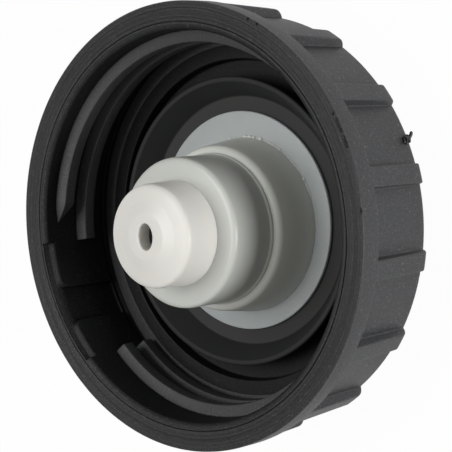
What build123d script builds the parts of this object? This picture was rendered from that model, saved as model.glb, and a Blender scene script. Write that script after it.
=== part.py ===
from build123d import *
import math
import os

# Screw cap of a fuel tank, with a two-way vent valve and a rollover ball in the middle.
# Millimetres. The closed face lies at z = 0 and the open end points up.
# Bearings run clockwise from +Y, as seen when looking into the open end.

# Cap shell
cap_height = 26.2
rim_radius = 48.1
rim_edge_round = 0.5
rim_land_width = 3.7
band_height = 5.2
band_step = 2.4
band_foot_round = 0.35
wall_draft = 0.5
wall_head_round = 0.5
closed_edge_round = 1.5
floor_thickness = 3.0
lip_width = 1.0
lip_drop = 0.25
lip_groove_width = 0.2
lip_groove_depth = 0.4
mouth_step = 0.1
mouth_cone_width = 1.3
mouth_cone_depth = 1.1

# Grip ribs
rib_count = 16
rib_bearing = 78.3
rib_width = 4.3
rib_heel_rise = 1.7
rib_heel_height = 0.8
rib_heel_round = 2.5
rib_edge_chamfer = 0.4
rib_head_inset = 0.05
rib_root_depth = 1.2

# Neck thread, cut away over one sector of the wall
thread_depth = 2.6
thread_pitch = 6.5
thread_crest_width = 2.8
thread_upper_flank_rise = 0.65
thread_lower_flank_drop = 1.6
thread_start_bearing = 271.0
thread_start_depth = 4.3
thread_start_taper = 4.3
thread_turns = 1.878
thread_root_embed = 0.4
thread_cut_margin = 1.0
gap_start_bearing = 226.0
gap_end_bearing = 265.0
gap_step_depth = 2.05
gap_step_slope = 0.8

# Vent slot down the wall inside that sector
slot_bearing = 245.0
slot_width = 8.1
slot_corner_round = 2.0
slot_cut_depth = 24.0

# Ledge and moat at the foot of the wall
ledge_height = 2.9
ledge_width = 6.3
ledge_relief_depth = 0.9
ledge_relief_height = 1.0
ledge_edge_round = 0.4

# Sealing gasket, with its steps as shares of the room between its bore and the ledge
gasket_bore_gap = 1.1
gasket_web = 1.4
gasket_land_share = 0.47
gasket_heel_share = 0.575
gasket_lip_share = 0.758
gasket_lip_height = 6.1
gasket_bead_width = 1.15
gasket_bead_round = 0.45
gasket_land_round = 0.6
gasket_lip_edge_drop = 1.1

# Mounting flange, clipped to the floor through the gasket
flange_share = 0.255
flange_thickness = 1.0
flange_bore_inset = 3.7
flange_edge_round = 0.35
flange_seat_share = 0.15
flange_edge_relief = 0.2
skirt_width = 1.6
skirt_clearance = 0.2
hook_width = 1.2
hook_clearance = 0.2
hook_reach = 0.9
hook_edge_height = 0.4
hook_head_height = 1.2
hook_count = 4
hook_angle = 50.0

# Vent passages in the floor
vent_groove_count = 4
vent_groove_width = 3.0
vent_groove_depth = 0.8
vent_groove_start = 11.0
vent_groove_share = 0.889
vent_groove_bearing = 45.0
filter_clearance = 0.2
filter_thickness = 1.3

# Valve stack, which stands off the cap's axis
valve_offset_x = 0.9
valve_offset_y = -0.95
part_clearance = 0.05
root_depth = 1.0
wire_sides = 6

# Valve housing
housing_step = 1.85
housing_draft = 1.35
housing_height = 10.65
housing_head_round = 1.6
housing_wall = 1.6
chamber_height = 5.6
chamber_draft = 0.35
seat_shelf_thickness = 1.4
seat_shelf_inset = 1.4
seat_bead_inset = 1.2
seat_bead_width = 0.8
seat_bead_height = 0.3

# Valve cartridge
cartridge_radius = 16.1
cartridge_foot_rise = 0.4
cartridge_foot_height = 0.5
cartridge_foot_slope = 0.25
cartridge_height = 12.15
cartridge_head_round = 1.3
cartridge_wall = 2.5
cartridge_top = 1.65
spigot_wall = 1.25
cage_rib_count = 6
cage_rib_width = 1.4
cage_rib_start = 1.0
cage_rib_embed = 0.6
cage_clearance = 0.3
o_ring_section = 1.0

# Nozzle
nozzle_foot_radius = 11.3
nozzle_draft = 0.38
nozzle_height = 8.67
nozzle_head_round = 1.2
nozzle_dome_rise = 0.45
nozzle_boss_share = 0.45
nozzle_boss_height = 0.85
nozzle_boss_slope = 1.3
nozzle_boss_round = 0.6
nozzle_tip_dome = 0.15
nozzle_bore_width = 4.0
nozzle_bore_length = 5.6
nozzle_bore_depth = 3.5
nozzle_spigot_inset = 1.7
nozzle_wall = 1.4
stop_rib_count = 4
stop_rib_width = 1.2
stop_rib_embed = 0.7
stop_rib_bearing = 45.0

# Rollover ball and its seat
ball_radius = 5.56
ball_travel = 4.5
ball_seat_gap = 0.15
ball_stop_gap = 0.3
seat_plate_thickness = 4.0
seat_plate_relief = 1.0
seat_plate_step = 0.5
seat_seal_thickness = 1.2
seat_seal_bore_radius = 3.4
seat_seal_width = 2.0
seat_cone_width = 1.1

# Pressure valve
plate_clearance = 1.2
plate_thickness = 1.4
plate_web = 0.8
plate_lip_height = 0.6
plate_lip_width = 0.4
plate_port_count = 6
plate_port_radius = 0.9
plate_port_circle = 4.1
pressure_seal_thickness = 1.0
pressure_seal_width = 3.2
spring_guide_radius = 6.6
spring_guide_width = 1.2
spring_guide_height = 1.2
floor_guide_height = 1.4
pressure_wire = 0.8
pressure_spring_clearance = 0.5
pressure_spring_turns = 3.0

# Vacuum valve
stem_radius = 1.48
stem_clearance = 0.07
vacuum_disc_radius = 6.0
vacuum_disc_thickness = 0.8
vacuum_seal_thickness = 0.6
vacuum_wire = 0.35
vacuum_spring_radius = 2.9
vacuum_spring_length = 2.6
vacuum_spring_turns = 2.5
keeper_radius = 3.9
keeper_thickness = 0.6
stem_tail = 0.2

# Levels that follow from the stack
floor_top = floor_thickness
ledge_top = floor_top + ledge_height
relief_top = ledge_top + ledge_relief_height
band_foot = cap_height - band_height
flange_bottom = floor_top + gasket_web
flange_top = flange_bottom + flange_thickness
housing_top = flange_top + housing_height
shelf_bottom = flange_top + chamber_height
shelf_top = shelf_bottom + seat_shelf_thickness
cartridge_head = housing_top + cartridge_height
nozzle_shoulder = cartridge_head + nozzle_height
nozzle_face = nozzle_shoulder + nozzle_dome_rise
nozzle_tip = nozzle_face + nozzle_boss_height
plate_seal_top = shelf_bottom - seat_bead_height
plate_top = plate_seal_top - pressure_seal_thickness
plate_bottom = plate_top - plate_thickness
web_bottom = plate_top - plate_web
spigot_end = shelf_top + o_ring_section

# Radii of the shell, which follow from its rim
wall_head_radius = rim_radius - band_step
wall_foot_radius = wall_head_radius - wall_draft
rib_heel_radius = wall_foot_radius + rib_heel_rise
lip_outer_radius = rim_radius - rim_land_width
lip_inner_radius = lip_outer_radius - lip_width
mouth_radius = lip_inner_radius - mouth_step
thread_root_radius = mouth_radius - mouth_cone_width
thread_crest_radius = thread_root_radius - thread_depth
ledge_relief_radius = thread_root_radius + ledge_relief_depth
ledge_inner_radius = thread_root_radius - ledge_width

# Radii of the valve, which follow from its cartridge and nozzle
housing_head_radius = cartridge_radius + housing_step
housing_foot_radius = housing_head_radius + housing_draft
cartridge_foot_radius = cartridge_radius + cartridge_foot_rise
cartridge_bore_radius = cartridge_radius - cartridge_wall
spigot_radius = cartridge_bore_radius + spigot_wall
housing_bore_radius = spigot_radius + part_clearance
nozzle_head_radius = nozzle_foot_radius - nozzle_draft
nozzle_boss_radius = nozzle_head_radius * nozzle_boss_share
nozzle_spigot_radius = nozzle_foot_radius - nozzle_spigot_inset
nozzle_chamber_radius = nozzle_spigot_radius - nozzle_wall
flange_bore_radius = housing_foot_radius - flange_bore_inset
hook_radius = flange_bore_radius - hook_clearance
plate_radius = hook_radius - hook_width - plate_clearance
seat_bead_radius = plate_radius - plate_lip_width - seat_bead_inset
seat_shelf_bore_radius = seat_bead_radius - seat_shelf_inset
seat_plate_relief_radius = seat_shelf_bore_radius - seat_plate_step

# Radii of the gasket and the flange, shared out between the valve and the ledge
gasket_bore_radius = housing_foot_radius + gasket_bore_gap
gasket_room = ledge_inner_radius - gasket_bore_radius
gasket_land_radius = gasket_bore_radius + gasket_room * gasket_land_share
gasket_heel_radius = gasket_bore_radius + gasket_room * gasket_heel_share
gasket_lip_radius = gasket_bore_radius + gasket_room * gasket_lip_share
flange_radius = gasket_bore_radius + gasket_room * flange_share
flange_seat_radius = gasket_bore_radius + gasket_room * flange_seat_share
vent_groove_end = gasket_bore_radius + gasket_room * vent_groove_share
skirt_radius = gasket_bore_radius - skirt_clearance
skirt_bore_radius = skirt_radius - skirt_width

# The ball rests a hair above the cone of its seal
seat_plate_top = shelf_top + seat_plate_thickness
seat_cone_apex = seat_plate_top - seat_seal_bore_radius - seat_cone_width
ball_rest = seat_cone_apex + (ball_radius + ball_seat_gap) * math.sqrt(2.0)
ball_stop = ball_rest + ball_radius + ball_travel + ball_stop_gap


def polar(bearing):
    """Angle about Z, counter-clockwise from +X, of a bearing."""
    return 90.0 - bearing


def section(*corners):
    """Face in the XZ plane from (radius, height) corners, each with an optional rounding."""
    face = make_face(Polyline(*[corner[:2] for corner in corners], close=True))
    for corner in corners:
        if len(corner) == 3:
            face = fillet(face.vertices().sort_by_distance((corner[0], corner[1], 0))[0], corner[2])
    return Plane.XZ * face


def turned(*corners):
    """Solid of revolution about the cap's axis."""
    return revolve(section(*corners), Axis.Z)


def sector(start_bearing, end_bearing, *corners):
    """Part of a solid of revolution, from one bearing clockwise to another."""
    arc = end_bearing - start_bearing
    return Rot(0, 0, polar(end_bearing)) * revolve(section(*corners), Axis.Z, revolution_arc=arc)


def wall_plane(bearing, radius):
    """Plane that faces the axis from a bearing, with its x clockwise and its y up."""
    angle = math.radians(polar(bearing))
    outward = Vector(math.cos(angle), math.sin(angle), 0)
    clockwise = Vector(math.sin(angle), -math.cos(angle), 0)
    return Plane(origin=outward * radius, x_dir=clockwise, z_dir=-outward)


def on_valve_axis(solid):
    return Pos(valve_offset_x, valve_offset_y, 0) * solid


def around(solid, count, start=0.0):
    """Copies of a solid, evenly spaced about Z."""
    return [Rot(0, 0, start + number * 360.0 / count) * solid for number in range(count)]


def radial_rib(width, *corners):
    """Plate of a given width along +X, from an outline in the XZ plane."""
    return extrude(section(*corners), 0.5 * width, both=True)


def coil(radius, wire, bottom, top, turns):
    """Compression spring of six-sided wire between two levels."""
    rise = top - bottom - wire
    path = Helix(pitch=rise / turns, height=rise, radius=radius)
    profile = Plane(origin=path @ 0, z_dir=path % 0) * RegularPolygon(0.5 * wire, wire_sides)
    return Pos(0, 0, bottom + 0.5 * wire) * sweep(profile, path, is_frenet=True)


def thread():
    """The neck thread: one helical ridge, tapered at its start, cut away over the gap and above the ledge."""
    stretch = (thread_depth + thread_root_embed) / thread_depth
    root = thread_root_radius + thread_root_embed
    profile = section(
        (thread_crest_radius, 0),
        (root, thread_upper_flank_rise * stretch),
        (root, -thread_crest_width - thread_lower_flank_drop * stretch),
        (thread_crest_radius, -thread_crest_width),
    )
    rise = thread_pitch * thread_turns
    path = Helix(pitch=thread_pitch, height=rise, radius=thread_crest_radius)
    ridge = sweep(profile, path, is_frenet=True)
    end_bearing = thread_start_bearing + 360.0 * thread_turns
    start_height = cap_height - thread_start_depth
    ridge = Pos(0, 0, start_height - rise) * Rot(0, 0, polar(end_bearing)) * ridge

    cut_inner = thread_crest_radius - thread_cut_margin
    cut_outer = root + thread_cut_margin
    gap = sector(
        gap_start_bearing,
        gap_end_bearing,
        (cut_inner, 0),
        (cut_outer, 0),
        (cut_outer, cap_height),
        (cut_inner, cap_height),
    )
    foot = turned((cut_inner, 0), (cut_outer, 0), (cut_outer, relief_top), (cut_inner, relief_top))
    slant = thread_crest_width / thread_start_taper
    taper = Polyline(
        (0, thread_crest_width),
        (0, 0),
        (2.0 * thread_start_taper, -2.0 * slant * thread_start_taper),
        (2.0 * thread_start_taper, -thread_pitch),
        (-2.0 * thread_start_taper, -thread_pitch),
        (-2.0 * thread_start_taper, thread_crest_width),
        close=True,
    )
    start_plane = wall_plane(thread_start_bearing, cut_outer)
    start_cut = extrude(start_plane * Pos(0, start_height) * make_face(taper), amount=cut_outer - cut_inner)
    return ridge - gap - foot - start_cut


def slot():
    """Vent slot through the gap's wall, with rounded shoulders where it meets the step."""
    half = 0.5 * slot_width
    top = cap_height - gap_step_depth
    turn = slot_corner_round
    shoulder = half + turn
    above = top + gap_step_slope
    outline = Polyline((-half, top - turn), (-half, relief_top), (half, relief_top), (half, top - turn))
    outline += RadiusArc((half, top - turn), (shoulder, top), turn)
    outline += Polyline((shoulder, top), (shoulder, above), (-shoulder, above), (-shoulder, top))
    outline += RadiusArc((-shoulder, top), (-half, top - turn), turn)
    cut = extrude(wall_plane(slot_bearing, rim_radius) * make_face(outline), amount=slot_cut_depth)
    return cut & turned((0, 0), (mouth_radius, 0), (mouth_radius, cap_height), (0, cap_height))


def grip_rib():
    """One rib, from its rounded heel up into the band, with both long edges eased."""
    root = wall_foot_radius - rib_root_depth
    top = band_foot + band_foot_round
    rib = radial_rib(
        rib_width,
        (root, rib_heel_height),
        (rib_heel_radius, rib_heel_height, rib_heel_round),
        (rim_radius - rib_head_inset, top),
        (root, top),
    )
    long_edges = rib.edges().filter_by(GeomType.LINE).filter_by(lambda edge: edge.length > band_height)
    return chamfer(long_edges.filter_by(lambda edge: edge.center().X > wall_head_radius), rib_edge_chamfer)


def floor_hook():
    """Clip that reaches up through the flange's bore and over its edge."""
    inner = hook_radius - hook_width
    foot = floor_top - root_depth
    edge = hook_radius + hook_reach
    hook = sector(
        -0.5 * hook_angle,
        0.5 * hook_angle,
        (inner, foot),
        (hook_radius, foot),
        (hook_radius, flange_top),
        (edge, flange_top),
        (edge, flange_top + hook_edge_height),
        (hook_radius, flange_top + hook_head_height),
        (inner, flange_top + hook_head_height),
    )
    return [on_valve_axis(copy) for copy in around(hook, hook_count)]


def floor_guide():
    """Ring on the floor that centres the pressure spring."""
    inner = spring_guide_radius - spring_guide_width
    return on_valve_axis(turned(
        (inner, floor_top - root_depth),
        (spring_guide_radius, floor_top - root_depth),
        (spring_guide_radius, floor_top + floor_guide_height),
        (inner, floor_top + floor_guide_height),
    ))


def vent_grooves():
    groove = radial_rib(
        vent_groove_width,
        (vent_groove_start, floor_top - vent_groove_depth),
        (vent_groove_end, floor_top - vent_groove_depth),
        (vent_groove_end, floor_top + vent_groove_depth),
        (vent_groove_start, floor_top + vent_groove_depth),
    )
    return around(groove, vent_groove_count, vent_groove_bearing)


def cap_shell():
    lip_top = cap_height - lip_drop
    body = turned(
        (0, 0),
        (wall_foot_radius, 0, closed_edge_round),
        (wall_head_radius, band_foot, wall_head_round),
        (rim_radius, band_foot, band_foot_round),
        (rim_radius, cap_height, rim_edge_round),
        (lip_outer_radius + lip_groove_width, cap_height),
        (lip_outer_radius, cap_height - lip_groove_depth),
        (lip_outer_radius - lip_groove_width, lip_top),
        (lip_inner_radius + lip_groove_width, lip_top),
        (lip_inner_radius, lip_top - lip_groove_depth),
        (mouth_radius - lip_groove_width, lip_top),
        (thread_root_radius, cap_height - mouth_cone_depth),
        (thread_root_radius, relief_top + ledge_relief_height),
        (ledge_relief_radius, relief_top),
        (ledge_relief_radius, ledge_top),
        (ledge_inner_radius, ledge_top, ledge_edge_round),
        (ledge_inner_radius, floor_top),
        (0, floor_top),
    )
    inside = thread_root_radius - root_depth
    step_foot = cap_height - gap_step_depth - gap_step_slope
    step = sector(
        gap_start_bearing,
        gap_end_bearing,
        (inside, cap_height),
        (mouth_radius, cap_height),
        (mouth_radius, cap_height - gap_step_depth),
        (thread_root_radius, step_foot),
        (inside, step_foot),
    )
    body = body - step - slot()
    body = body + around(grip_rib(), rib_count, polar(rib_bearing))
    body = body + thread() + floor_hook() + floor_guide()
    return body - vent_grooves()


def sealing_gasket():
    lip_top = floor_top + gasket_lip_height
    return turned(
        (gasket_bore_radius, floor_top),
        (gasket_heel_radius, floor_top),
        (gasket_lip_radius, lip_top - gasket_lip_edge_drop),
        (gasket_lip_radius, lip_top, gasket_bead_round),
        (gasket_lip_radius - gasket_bead_width, lip_top, gasket_bead_round),
        (gasket_land_radius, flange_bottom, gasket_land_round),
        (gasket_bore_radius, flange_bottom),
    )


def mounting_flange():
    """Ring over the gasket, with a skirt down its bore; it is open in the middle for the valve."""
    body = turned(
        (0, flange_bottom),
        (skirt_bore_radius, flange_bottom),
        (skirt_bore_radius, floor_top),
        (skirt_radius, floor_top),
        (skirt_radius, flange_bottom),
        (flange_seat_radius, flange_bottom),
        (flange_seat_radius + flange_edge_relief, flange_bottom + flange_edge_relief),
        (flange_radius, flange_bottom + flange_edge_relief),
        (flange_radius, flange_top, flange_edge_round),
        (0, flange_top),
    )
    return body - on_valve_axis(turned(
        (0, flange_bottom - root_depth),
        (flange_bore_radius, flange_bottom - root_depth),
        (flange_bore_radius, flange_top + root_depth),
        (0, flange_top + root_depth),
    ))


def vent_filter():
    """Felt ring between the flange's skirt and the clips."""
    top = floor_top + filter_thickness
    above = top + root_depth
    outer = skirt_bore_radius - filter_clearance
    inner = hook_radius + filter_clearance
    body = turned((0, floor_top), (outer, floor_top), (outer, top), (0, top))
    return body - on_valve_axis(turned((0, 0), (inner, 0), (inner, above), (0, above)))


def valve_housing():
    chamber_foot = housing_foot_radius - housing_wall
    bead_outer = seat_bead_radius + seat_bead_width
    return on_valve_axis(turned(
        (chamber_foot, flange_top),
        (housing_foot_radius, flange_top),
        (housing_head_radius, housing_top, housing_head_round),
        (housing_bore_radius, housing_top),
        (housing_bore_radius, shelf_top),
        (seat_shelf_bore_radius, shelf_top),
        (seat_shelf_bore_radius, shelf_bottom),
        (seat_bead_radius, shelf_bottom),
        (seat_bead_radius, shelf_bottom - seat_bead_height),
        (bead_outer, shelf_bottom - seat_bead_height),
        (bead_outer, shelf_bottom),
        (chamber_foot - chamber_draft, shelf_bottom),
    ))


def valve_cartridge():
    bore_top = cartridge_head - cartridge_top
    foot_top = housing_top + cartridge_foot_height
    body = turned(
        (cartridge_bore_radius, spigot_end),
        (spigot_radius, spigot_end),
        (spigot_radius, housing_top),
        (cartridge_foot_radius, housing_top),
        (cartridge_foot_radius, foot_top),
        (cartridge_radius, foot_top + cartridge_foot_slope),
        (cartridge_radius, cartridge_head, cartridge_head_round),
        (nozzle_spigot_radius + part_clearance, cartridge_head),
        (nozzle_spigot_radius + part_clearance, bore_top),
        (cartridge_bore_radius, bore_top),
    )
    rib_inner = ball_radius + cage_clearance
    rib_outer = cartridge_bore_radius + cage_rib_embed
    rib_step = nozzle_spigot_radius + 2.0 * part_clearance
    rib_bottom = seat_plate_top + cage_rib_start
    rib = radial_rib(
        cage_rib_width,
        (rib_inner, rib_bottom),
        (rib_outer, rib_bottom),
        (rib_outer, bore_top + cage_rib_embed),
        (rib_step, bore_top + cage_rib_embed),
        (rib_step, bore_top - part_clearance),
        (rib_inner, bore_top - part_clearance),
    )
    return on_valve_axis(body + around(rib, cage_rib_count))


def valve_nozzle():
    spigot_bottom = cartridge_head - cartridge_top
    chamber_top = nozzle_tip - nozzle_bore_depth
    boss_foot = nozzle_boss_radius + nozzle_boss_slope
    body = turned(
        (nozzle_chamber_radius, spigot_bottom),
        (nozzle_spigot_radius, spigot_bottom),
        (nozzle_spigot_radius, cartridge_head),
        (nozzle_foot_radius, cartridge_head),
        (nozzle_head_radius, nozzle_shoulder, nozzle_head_round),
        (boss_foot, nozzle_face, nozzle_boss_round),
        (nozzle_boss_radius, nozzle_tip - nozzle_tip_dome, nozzle_boss_round),
        (0, nozzle_tip),
        (0, chamber_top),
        (nozzle_chamber_radius, chamber_top),
    )
    bore = Ellipse(0.5 * nozzle_bore_width, 0.5 * nozzle_bore_length)
    body = body - Pos(0, 0, nozzle_tip) * extrude(bore, 2.0 * nozzle_bore_depth, both=True)
    rib_inner = 0.5 * nozzle_bore_length + stop_rib_embed
    rib_outer = nozzle_chamber_radius + stop_rib_embed
    rib = radial_rib(
        stop_rib_width,
        (rib_inner, ball_stop),
        (rib_outer, ball_stop),
        (rib_outer, chamber_top + stop_rib_embed),
        (rib_inner, chamber_top + stop_rib_embed),
    )
    return on_valve_axis(body + around(rib, stop_rib_count, stop_rib_bearing))


def cartridge_o_ring():
    half = 0.5 * o_ring_section
    centre = cartridge_bore_radius + half + part_clearance
    profile = Plane.XZ * Pos(centre, shelf_top + half) * Circle(half)
    return on_valve_axis(revolve(profile, Axis.Z))


def ball_seat():
    pocket = seat_seal_bore_radius + seat_seal_width
    outer = cartridge_bore_radius - part_clearance
    seal_bottom = seat_plate_top - seat_seal_thickness
    return on_valve_axis(turned(
        (seat_seal_bore_radius, shelf_top + seat_plate_relief),
        (seat_plate_relief_radius, shelf_top + seat_plate_relief),
        (seat_plate_relief_radius, shelf_top),
        (outer, shelf_top),
        (outer, seat_plate_top),
        (pocket, seat_plate_top),
        (pocket, seal_bottom),
        (seat_seal_bore_radius, seal_bottom),
    ))


def seat_seal():
    pocket = seat_seal_bore_radius + seat_seal_width
    return on_valve_axis(turned(
        (seat_seal_bore_radius, seat_plate_top - seat_seal_thickness),
        (pocket, seat_plate_top - seat_seal_thickness),
        (pocket, seat_plate_top),
        (seat_seal_bore_radius + seat_cone_width, seat_plate_top),
        (seat_seal_bore_radius, seat_plate_top - seat_cone_width),
    ))


def rollover_ball():
    return on_valve_axis(Pos(0, 0, ball_rest) * Sphere(ball_radius))


def pressure_plate():
    guide_inner = spring_guide_radius - spring_guide_width
    seal_outer = plate_radius - plate_lip_width
    seal_inner = seal_outer - pressure_seal_width
    lip_top = plate_top + plate_lip_height
    stem_hole = stem_radius + stem_clearance
    body = turned(
        (stem_hole, web_bottom),
        (guide_inner, web_bottom),
        (guide_inner, plate_bottom - spring_guide_height),
        (spring_guide_radius, plate_bottom - spring_guide_height),
        (spring_guide_radius, plate_bottom),
        (plate_radius, plate_bottom),
        (plate_radius, lip_top),
        (seal_outer, lip_top),
        (seal_outer, plate_top),
        (seal_inner, plate_top),
        (seal_inner, lip_top),
        (seal_inner - plate_lip_width, lip_top),
        (seal_inner - plate_lip_width, plate_top),
        (stem_hole, plate_top),
    )
    port = Pos(plate_port_circle, 0, plate_top) * Cylinder(plate_port_radius, 4.0 * plate_web)
    return on_valve_axis(body - around(port, plate_port_count))


def pressure_seal():
    outer = plate_radius - plate_lip_width
    inner = outer - pressure_seal_width
    return on_valve_axis(turned(
        (inner, plate_top),
        (outer, plate_top),
        (outer, plate_seal_top),
        (inner, plate_seal_top),
    ))


def pressure_spring():
    radius = spring_guide_radius + pressure_spring_clearance + 0.5 * pressure_wire
    return on_valve_axis(coil(radius, pressure_wire, floor_top, plate_bottom, pressure_spring_turns))


def vacuum_disc():
    disc_bottom = plate_top + vacuum_seal_thickness
    keeper_bottom = web_bottom - vacuum_spring_length - keeper_thickness
    return on_valve_axis(turned(
        (0, keeper_bottom - stem_tail),
        (stem_radius, keeper_bottom - stem_tail),
        (stem_radius, disc_bottom),
        (vacuum_disc_radius, disc_bottom),
        (vacuum_disc_radius, disc_bottom + vacuum_disc_thickness),
        (0, disc_bottom + vacuum_disc_thickness),
    ))


def vacuum_seal():
    return on_valve_axis(turned(
        (stem_radius + stem_clearance, plate_top),
        (vacuum_disc_radius, plate_top),
        (vacuum_disc_radius, plate_top + vacuum_seal_thickness),
        (stem_radius + stem_clearance, plate_top + vacuum_seal_thickness),
    ))


def vacuum_spring():
    bottom = web_bottom - vacuum_spring_length
    return on_valve_axis(coil(vacuum_spring_radius, vacuum_wire, bottom, web_bottom, vacuum_spring_turns))


def spring_keeper():
    top = web_bottom - vacuum_spring_length
    return on_valve_axis(turned(
        (stem_radius, top - keeper_thickness),
        (keeper_radius, top - keeper_thickness),
        (keeper_radius, top),
        (stem_radius, top),
    ))


pieces = [
    cap_shell,
    sealing_gasket,
    mounting_flange,
    vent_filter,
    valve_housing,
    valve_cartridge,
    valve_nozzle,
    cartridge_o_ring,
    ball_seat,
    seat_seal,
    rollover_ball,
    pressure_plate,
    pressure_seal,
    pressure_spring,
    vacuum_disc,
    vacuum_seal,
    vacuum_spring,
    spring_keeper,
]

os.makedirs("parts", exist_ok=True)
for piece in pieces:
    export_step(piece(), "parts/" + piece.__name__ + ".step")
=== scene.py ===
import math

import bmesh
import bpy
from mathutils import Matrix, Vector, noise


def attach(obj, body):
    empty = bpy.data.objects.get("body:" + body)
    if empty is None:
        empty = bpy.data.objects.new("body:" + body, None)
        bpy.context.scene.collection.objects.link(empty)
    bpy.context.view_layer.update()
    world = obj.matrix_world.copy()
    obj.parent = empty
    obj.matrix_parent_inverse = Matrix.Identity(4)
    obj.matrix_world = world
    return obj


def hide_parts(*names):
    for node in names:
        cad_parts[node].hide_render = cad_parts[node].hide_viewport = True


# Looks of a fuel tank cap: black moulded shell, rubber gasket and a white stepped valve.
# The frame is in metres. Sizes of the cap are in millimetres, and MM turns them into metres.
# Bearings are in degrees, clockwise from +Y as seen from above.
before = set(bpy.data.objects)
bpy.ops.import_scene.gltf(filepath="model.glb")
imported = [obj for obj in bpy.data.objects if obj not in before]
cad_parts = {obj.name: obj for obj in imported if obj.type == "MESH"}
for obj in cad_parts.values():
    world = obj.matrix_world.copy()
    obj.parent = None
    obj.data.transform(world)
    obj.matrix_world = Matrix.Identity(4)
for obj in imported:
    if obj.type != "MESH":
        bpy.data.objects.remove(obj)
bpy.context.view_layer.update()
MM = 0.001
FULL_TURN = 360.0
CAP_AXIS = (0.0, 0.0)

# Roundings and embedding that many pieces share
HAIR_ROUND = 0.1
FINE_ROUND = 0.15
SMALL_ROUND = 0.2
PLAIN_ROUND = 0.3
WIDE_ROUND = 0.5
FLOOR_EMBED = 1.0

# Cap shell
CAP_HEIGHT = 26.2
RIM_RADIUS = 48.1
RIM_EDGE_ROUND = 0.5
BAND_FOOT = 21.0
BAND_FOOT_ROUND = 0.3
WALL_FOOT_RADIUS = 45.2
WALL_HEAD_RADIUS = 45.7
WALL_HEAD_ROUND = 0.5
CLOSED_EDGE_ROUND = 1.5
FLOOR_TOP = 3.0
MOUTH_RADIUS = 43.3
MOUTH_CONE_DEPTH = 1.1
MOUTH_DRAFT = 0.1

# Rings in the rim's face: an outer groove, a soft step and a sharp groove at the mouth
RIM_GROOVE_OUTER = 46.7
RIM_GROOVE_INNER = 45.3
RIM_GROOVE_DEPTH = 0.22
RIM_GROOVE_SLOPE = 0.3
RIM_STEP_RADIUS = 44.8
RIM_STEP_DEPTH = 0.26
RIM_STEP_SLOPE = 0.35
MOUTH_GROOVE_RADIUS = 43.7
MOUTH_GROOVE_WIDTH = 0.14
MOUTH_GROOVE_DEPTH = 0.6
MOUTH_LIP_DROP = 0.3
MOUTH_GROOVE_ROUND = 0.04
RIM_WANDER = 0.08
MOUTH_WANDER = 0.06
MOUTH_WANDER_TURN = 140.0
# Waves of that wander: how many there are round the cap, share and phase
WANDER_WAVES = ((3.0, 1.0, 0.7), (11.0, 0.7, 0.0), (29.0, 0.5, 2.0))

# Grip ribs
RIB_COUNT = 16
RIB_BEARING = 78.3
RIB_WIDTH = 4.3
RIB_HEEL_RADIUS = 46.9
RIB_HEEL_HEIGHT = 0.8
RIB_HEEL_ROUND = 2.5
RIB_HEAD_RADIUS = 48.02
RIB_EDGE_ROUND = 0.35
RIB_FOOT_ROUND = 0.3

# Neck thread and the gap in it
ROOT_RADIUS = 42.0
CREST_RADIUS = 39.4
THREAD_PITCH = 6.5
CREST_WIDTH = 2.8
UPPER_FLANK_RISE = 0.65
LOWER_FLANK_DROP = 1.6
THREAD_START = 271.0
THREAD_START_DEPTH = 4.3
THREAD_TAPER = 6.3
THREAD_EMBED = 0.4
THREAD_POINT = 0.04
THREAD_END_ROUND = 0.3
THREAD_FOOT_STEP = 0.01
CREST_UPPER_ROUND = 0.3
CREST_LOWER_ROUND = 0.35
THREAD_RUN_IN = 7.0
RUN_IN_SHARE = 0.93
RUN_IN_CURVE = 1.5
GAP_START = 226.0
GAP_END = 265.0
GAP_STEP_DEPTH = 2.05
GAP_STEP_SLOPE = 0.8
GAP_SIDE_EASE = 0.16
SLOT_BEARING = 245.0
SLOT_WIDTH = 8.1
SLOT_ROUND = 2.0
SLOT_FOOT_RISE = 0.1

# Ledge and moat
LEDGE_TOP = 5.9
LEDGE_INNER_RADIUS = 35.7
RELIEF_RADIUS = 42.9
RELIEF_HEIGHT = 1.0
LEDGE_ROUND = 0.4

# Clips, spring guide and vents on the floor
HOOK_RADIUS = 15.4
HOOK_WIDTH = 1.2
HOOK_REACH = 0.9
HOOK_HEAD = 1.2
HOOK_ANGLE = 50.0
HOOK_COUNT = 4
HOOK_BEARING = 90.0
GUIDE_RADIUS = 6.6
GUIDE_WIDTH = 1.2
GUIDE_HEIGHT = 1.4
VENT_COUNT = 4
VENT_WIDTH = 3.0
VENT_DEPTH = 0.8
VENT_START = 11.0
VENT_END = 34.0
VENT_BEARING = 45.0

# Gasket
GASKET_BORE = 20.4
GASKET_LAND_TOP = 4.4
GASKET_LAND_RADIUS = 27.6
GASKET_HEEL_RADIUS = 29.2
GASKET_LIP_RADIUS = 32.0
GASKET_LIP_TOP = 9.1
GASKET_LIP_EDGE = 8.0
GASKET_BEAD = 1.15
GASKET_EDGE_ROUND = 0.8
GASKET_LAND_ROUND = 0.6

# Flange and valve
FLANGE_RADIUS = 24.3
FLANGE_TOP = 5.4
FLANGE_BORE = 15.6
FLANGE_SEAT_WIDTH = 2.5
FLANGE_RELIEF = 0.2
SKIRT_RADIUS = 20.2
SKIRT_WIDTH = 1.6
VALVE_X = 0.9
VALVE_Y = -0.95
VALVE_AXIS = (VALVE_X, VALVE_Y)
HOUSING_FOOT = 19.3
HOUSING_HEAD = 17.95
HOUSING_TOP = 16.05
HOUSING_WALL = 1.6
HOUSING_BORE = 14.9
HOUSING_ROUND = 1.6
SHELF_BOTTOM = 11.0
SHELF_TOP = 12.4
SHELF_BORE = 10.0
SEAT_BEAD = 11.4
SEAT_BEAD_WIDTH = 0.8
SEAT_BEAD_HEIGHT = 0.3
CHAMBER_DRAFT = 0.35
CARTRIDGE_FOOT = 16.5
CARTRIDGE_FOOT_HEIGHT = 0.5
CARTRIDGE_FOOT_SLOPE = 0.25
CARTRIDGE_RADIUS = 16.1
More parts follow.
